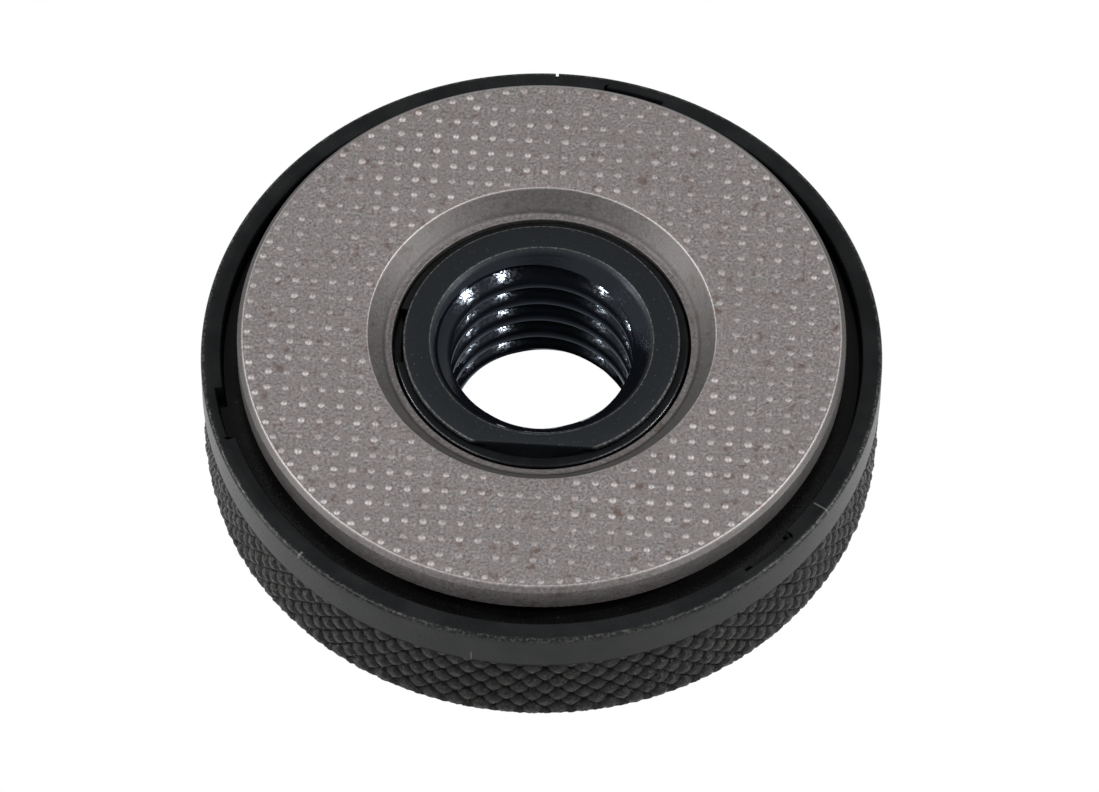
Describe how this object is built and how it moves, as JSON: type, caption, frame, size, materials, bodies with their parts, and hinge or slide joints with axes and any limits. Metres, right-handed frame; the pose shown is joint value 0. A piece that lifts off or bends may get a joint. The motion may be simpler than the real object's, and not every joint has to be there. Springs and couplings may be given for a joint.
{
  "type": "quick clamping flange nut",
  "caption": "Round quick-clamping nut with a knurled release ring and a dimpled pressure disc, for clamping a grinding disc on a threaded spindle by hand.",
  "frame": {"origin": "on the spindle axis, in the plane of the nut's back face", "axes": "+Z along the spindle axis, out of the clamping face; -Y through the flat on the hub's boss"},
  "size_m": [0.0454, 0.0454, 0.012],
  "materials": {
    "black_oxide_steel": "black oxide, satin",
    "ground_steel": "phosphated steel, matt, with raised dots",
    "hardened_steel": "ground and polished",
    "spring_steel": "oiled spring steel",
    "bronze": "sintered bronze, oiled",
    "nitrile_rubber": "matt"
  },
  "bodies": {
    "hub": {"threaded_hub": "black_oxide_steel", "hub_race": "hardened_steel", "ball_cage": "bronze", "hub_snap_ring": "spring_steel", "wave_spring": "spring_steel", "stop_pin_1": "hardened_steel", "stop_pin_2": "hardened_steel", "stop_pin_3": "hardened_steel", "return_spring_1": "spring_steel", "return_spring_2": "spring_steel", "return_spring_3": "spring_steel"},
    "ring": {"knurled_ring": "black_oxide_steel", "cover_washer": "black_oxide_steel", "cam_ring": "hardened_steel", "thrust_washer": "bronze", "back_seal": "nitrile_rubber"},
    "disc": {"pressure_disc": "ground_steel"},
    "ball_1_body": {"ball_1": "hardened_steel"},
    "ball_2_body": {"ball_2": "hardened_steel"},
    "ball_3_body": {"ball_3": "hardened_steel"},
    "ball_4_body": {"ball_4": "hardened_steel"},
    "ball_5_body": {"ball_5": "hardened_steel"},
    "ball_6_body": {"ball_6": "hardened_steel"}
  },
  "joints": [
    {"name": "ring_turn", "type": "hinge", "parent": "hub", "child": "ring", "pos_m": [0, 0, 0.005], "axis": [0, 0, 1], "range_deg": [-30, 0], "deforming": ["return_spring_1", "return_spring_2", "return_spring_3"]},
    {"name": "disc_slide", "type": "slide", "parent": "hub", "child": "disc", "axis": [0, 0, 1], "range_m": [-0.0006, 0], "deforming": ["wave_spring"]},
    {"name": "ball_1_run", "type": "slide", "parent": "hub", "child": "ball_1_body", "axis": [0.866, 0.5, 0], "range_m": [0, 0.001]},
    {"name": "ball_2_run", "type": "slide", "parent": "hub", "child": "ball_2_body", "axis": [0, 1, 0], "range_m": [0, 0.001]},
    {"name": "ball_3_run", "type": "slide", "parent": "hub", "child": "ball_3_body", "axis": [-0.866, 0.5, 0], "range_m": [0, 0.001]},
    {"name": "ball_4_run", "type": "slide", "parent": "hub", "child": "ball_4_body", "axis": [-0.866, -0.5, 0], "range_m": [0, 0.001]},
    {"name": "ball_5_run", "type": "slide", "parent": "hub", "child": "ball_5_body", "axis": [0, -1, 0], "range_m": [0, 0.001]},
    {"name": "ball_6_run", "type": "slide", "parent": "hub", "child": "ball_6_body", "axis": [0.866, -0.5, 0], "range_m": [0, 0.001]}
  ],
  "couplings": [
    {"joint": "disc_slide", "follows": "ring_turn", "m_per_rad": 0.0011459},
    {"joint": "ball_1_run", "follows": "ring_turn", "m_per_rad": -0.0019098},
    {"joint": "ball_2_run", "follows": "ring_turn", "m_per_rad": -0.0019098},
    {"joint": "ball_3_run", "follows": "ring_turn", "m_per_rad": -0.0019098},
    {"joint": "ball_4_run", "follows": "ring_turn", "m_per_rad": -0.0019098},
    {"joint": "ball_5_run", "follows": "ring_turn", "m_per_rad": -0.0019098},
    {"joint": "ball_6_run", "follows": "ring_turn", "m_per_rad": -0.0019098}
  ]
}
